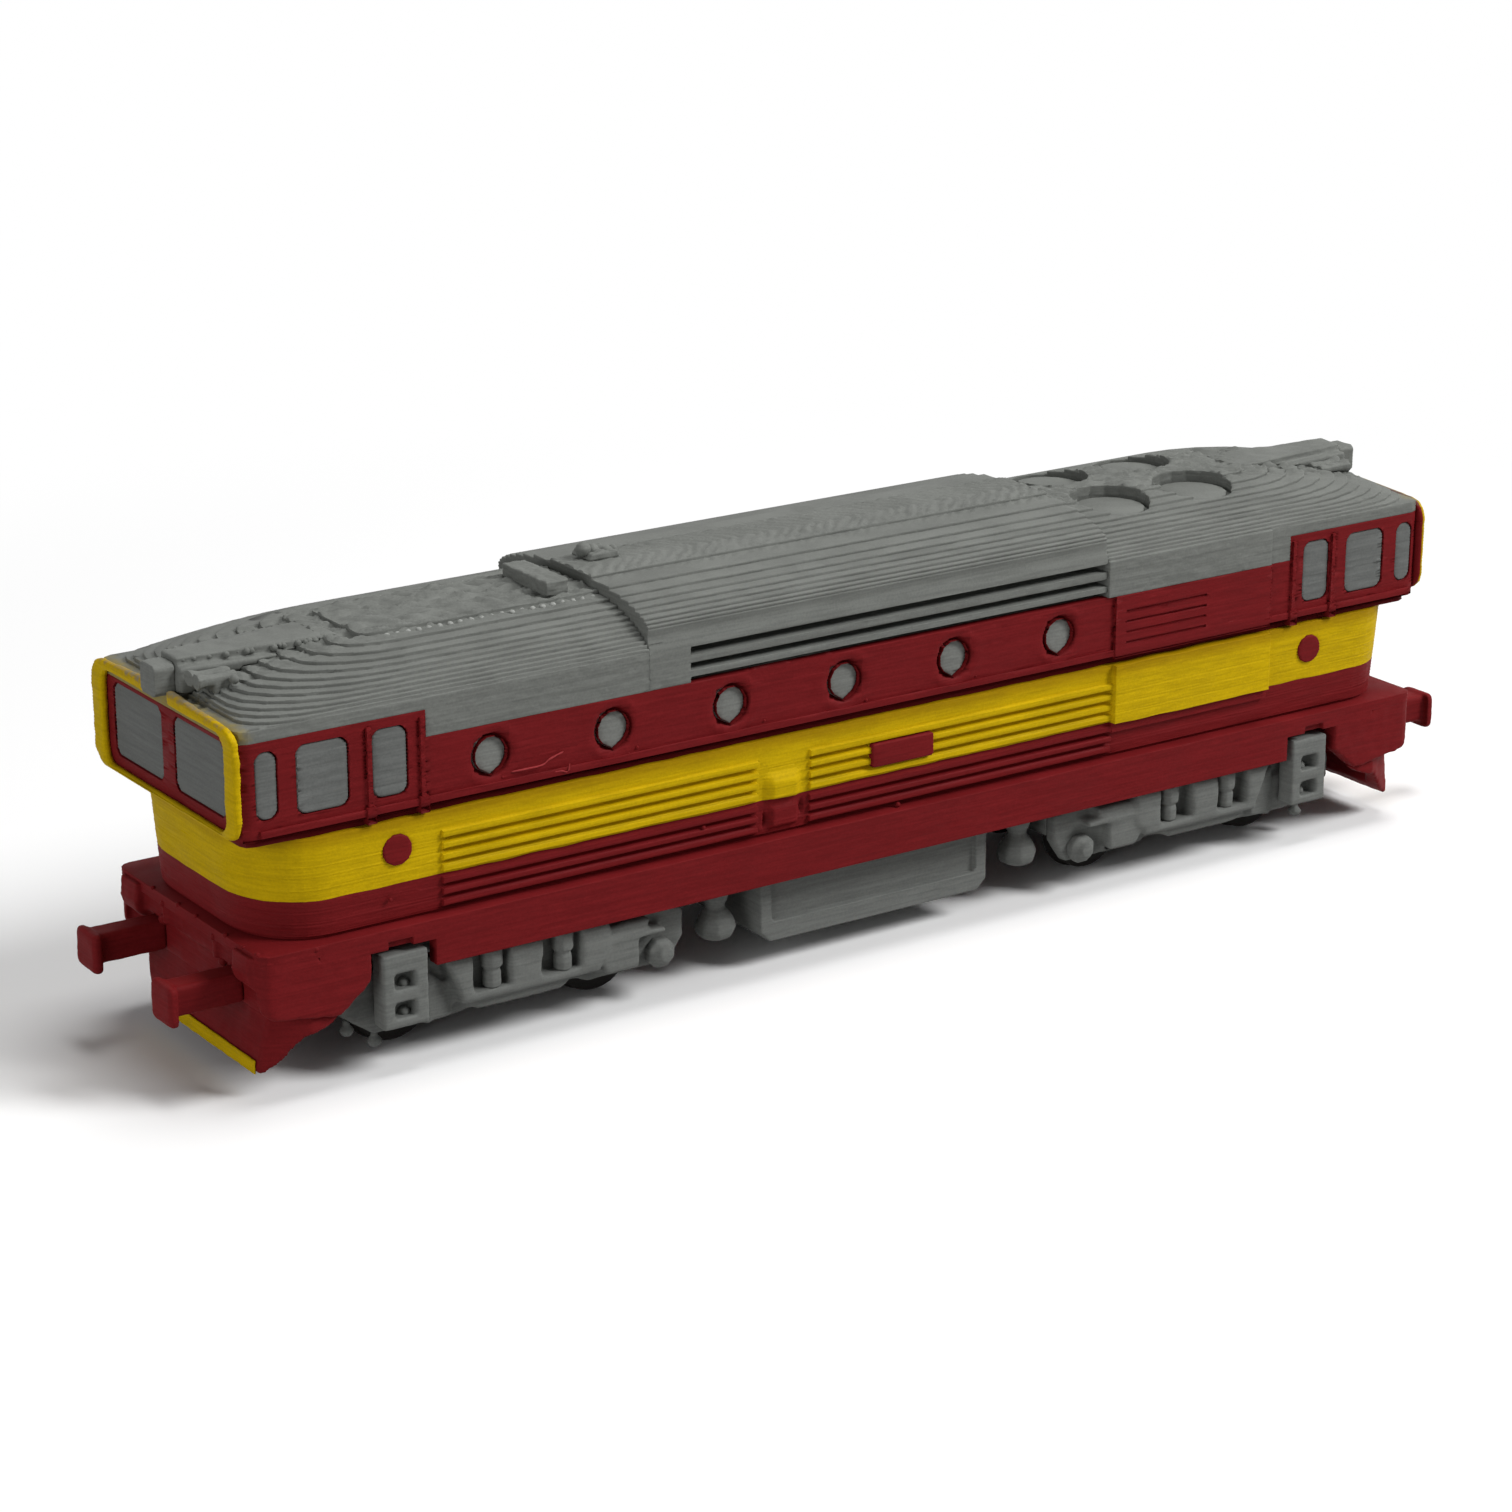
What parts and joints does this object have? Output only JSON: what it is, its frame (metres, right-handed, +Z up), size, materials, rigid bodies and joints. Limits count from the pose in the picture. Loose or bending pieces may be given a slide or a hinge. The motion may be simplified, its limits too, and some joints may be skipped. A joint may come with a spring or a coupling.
{
  "type": "printed scale model of a diesel locomotive",
  "caption": "Plastic model of a double-ended diesel locomotive with a banded body, overhanging windscreens, swivelling bogies and turning wheels.",
  "frame": {"origin": "midway along the model on its centre line, on the floor under the wheels", "axes": "+X towards the number one end, +Y to its left, +Z up"},
  "size_m": [0.0758, 0.0146, 0.0203],
  "materials": {
    "red_plastic": "matte",
    "yellow_plastic": "matte",
    "roof_plastic": "matte",
    "pane_plastic": "matte",
    "running_gear_plastic": "matte",
    "dark_plastic": "matte"
  },
  "bodies": {
    "carbody": {"air_reservoirs": "running_gear_plastic", "buffers_front": "red_plastic", "buffers_rear": "red_plastic", "fuel_tank": "running_gear_plastic", "headlight_front": "roof_plastic", "headlight_rear": "roof_plastic", "headstock_front": "red_plastic", "headstock_rear": "red_plastic", "horns_front": "roof_plastic", "horns_rear": "roof_plastic", "kingpin_front": "running_gear_plastic", "kingpin_rear": "running_gear_plastic", "lower_body": "red_plastic", "plough_front": "red_plastic", "plough_rear": "red_plastic", "plough_stripe_front": "yellow_plastic", "plough_stripe_rear": "yellow_plastic", "portholes": "pane_plastic", "roof_cross_bar": "roof_plastic", "roof_fans": "roof_plastic", "roof_front": "roof_plastic", "roof_middle": "roof_plastic", "roof_nub": "roof_plastic", "roof_rear": "roof_plastic", "roof_spine_front": "roof_plastic", "roof_spine_rear": "roof_plastic", "side_panes": "pane_plastic", "underframe": "red_plastic", "waist_band": "yellow_plastic", "waist_dots": "red_plastic", "waist_plates": "red_plastic", "window_band": "red_plastic", "windscreen_surround_front": "yellow_plastic", "windscreen_surround_rear": "yellow_plastic", "windscreens_front": "pane_plastic", "windscreens_rear": "pane_plastic"},
    "bogie_front": {"bogie_core_front": "running_gear_plastic", "brake_ends_front": "running_gear_plastic", "side_frames_front": "running_gear_plastic", "springs_front": "running_gear_plastic", "steps_front": "running_gear_plastic"},
    "bogie_rear": {"bogie_core_rear": "running_gear_plastic", "brake_ends_rear": "running_gear_plastic", "side_frames_rear": "running_gear_plastic", "springs_rear": "running_gear_plastic", "steps_rear": "running_gear_plastic"},
    "wheelset_1": {"axle_1": "dark_plastic", "wheels_1": "dark_plastic"},
    "wheelset_2": {"axle_2": "dark_plastic", "wheels_2": "dark_plastic"},
    "wheelset_3": {"axle_3": "dark_plastic", "wheels_3": "dark_plastic"},
    "wheelset_4": {"axle_4": "dark_plastic", "wheels_4": "dark_plastic"}
  },
  "joints": [
    {"name": "bogie_front_swivel", "type": "hinge", "parent": "carbody", "child": "bogie_front", "pos_m": [0.02046, 0, 0.00545], "axis": [0, 0, 1], "range_deg": [-2.5, 2.5]},
    {"name": "bogie_rear_swivel", "type": "hinge", "parent": "carbody", "child": "bogie_rear", "pos_m": [-0.02046, 0, 0.00545], "axis": [0, 0, 1], "range_deg": [-2.5, 2.5]},
    {"name": "wheelset_1_spin", "type": "hinge", "parent": "bogie_front", "child": "wheelset_1", "pos_m": [0.02591, 0, 0.00227], "axis": [0, 1, 0], "continuous": true},
    {"name": "wheelset_2_spin", "type": "hinge", "parent": "bogie_front", "child": "wheelset_2", "pos_m": [0.015, 0, 0.00227], "axis": [0, 1, 0], "continuous": true},
    {"name": "wheelset_3_spin", "type": "hinge", "parent": "bogie_rear", "child": "wheelset_3", "pos_m": [-0.015, 0, 0.00227], "axis": [0, 1, 0], "continuous": true},
    {"name": "wheelset_4_spin", "type": "hinge", "parent": "bogie_rear", "child": "wheelset_4", "pos_m": [-0.02591, 0, 0.00227], "axis": [0, 1, 0], "continuous": true}
  ]
}
